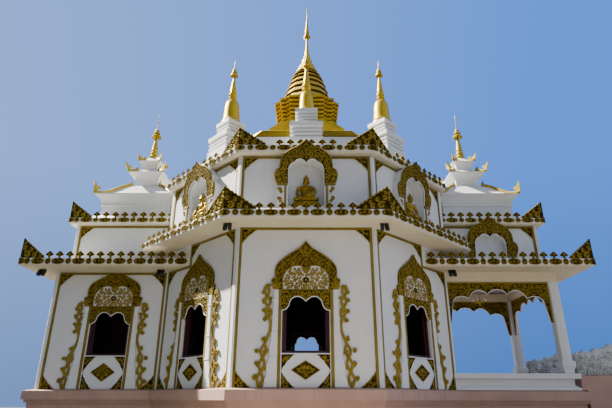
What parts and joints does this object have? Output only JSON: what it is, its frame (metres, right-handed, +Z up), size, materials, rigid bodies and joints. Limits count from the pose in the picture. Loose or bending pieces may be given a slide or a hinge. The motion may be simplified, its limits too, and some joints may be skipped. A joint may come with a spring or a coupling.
{
  "type": "octagonal shrine pagoda",
  "caption": "Two-storey octagonal shrine with a closed wing, an open porch wing with stair, tiered eaves, small bell shrines and a gilded spire on a plinth.",
  "frame": {"origin": "on the ground under the centre of the octagon", "axes": "+Z up, X along the two wings with the porch and its stair at +X, the main front towards -Y"},
  "size_m": [22.12, 11.5, 19.48],
  "materials": {
    "white_plaster": "matte lime-white masonry paint on render",
    "gilding": "satin gold paint",
    "mauve_render": "matte mauve masonry paint on render",
    "carved_stone": "rough weathered grey"
  },
  "bodies": {
    "root": {"plinth_octagon": "mauve_render", "plinth_left_wing": "mauve_render", "plinth_right_wing": "mauve_render", "wall_front": "white_plaster", "wall_front_right": "white_plaster", "wall_right": "white_plaster", "wall_back_right": "white_plaster", "wall_back": "white_plaster", "wall_back_left": "white_plaster", "wall_left": "white_plaster", "wall_front_left": "white_plaster", "seated_figure_front": "gilding", "seated_figure_front_right": "gilding", "seated_figure_front_left": "gilding", "seated_figure_back": "gilding", "seated_figure_back_right": "gilding", "seated_figure_back_left": "gilding", "lower_eave_front": "white_plaster", "upper_eave_front": "white_plaster", "lower_eave_back": "white_plaster", "upper_eave_back": "white_plaster", "roof_deck": "white_plaster", "gold_platform": "gilding", "tower_body": "gilding", "ring_pyramid": "gilding", "spire": "gilding", "bell_shrine_front": "gilding", "bell_shrine_front_right": "gilding", "bell_shrine_front_left": "gilding", "bell_shrine_back": "gilding", "bell_shrine_back_right": "gilding", "bell_shrine_back_left": "gilding", "left_wing_wall_front": "white_plaster", "left_wing_wall_back": "white_plaster", "left_wing_wall_end": "white_plaster", "left_wing_eave": "white_plaster", "left_wing_storey": "white_plaster", "left_wing_storey_eave": "white_plaster", "left_wing_roof": "white_plaster", "left_wing_finial": "gilding", "right_wing_eave": "white_plaster", "right_wing_storey": "white_plaster", "right_wing_storey_eave": "white_plaster", "right_wing_roof": "white_plaster", "right_wing_finial": "gilding", "porch_post_front": "white_plaster", "porch_post_back": "white_plaster", "porch_base_wall_front": "white_plaster", "porch_base_wall_back": "white_plaster", "porch_beams": "white_plaster", "porch_fretwork_front": "gilding", "porch_fretwork_back": "gilding", "porch_fretwork_end": "gilding", "stair_flight": "mauve_render", "stair_cheek_front": "mauve_render", "naga_front": "carved_stone", "stair_cheek_back": "mauve_render", "naga_back": "carved_stone"}
  },
  "joints": []
}
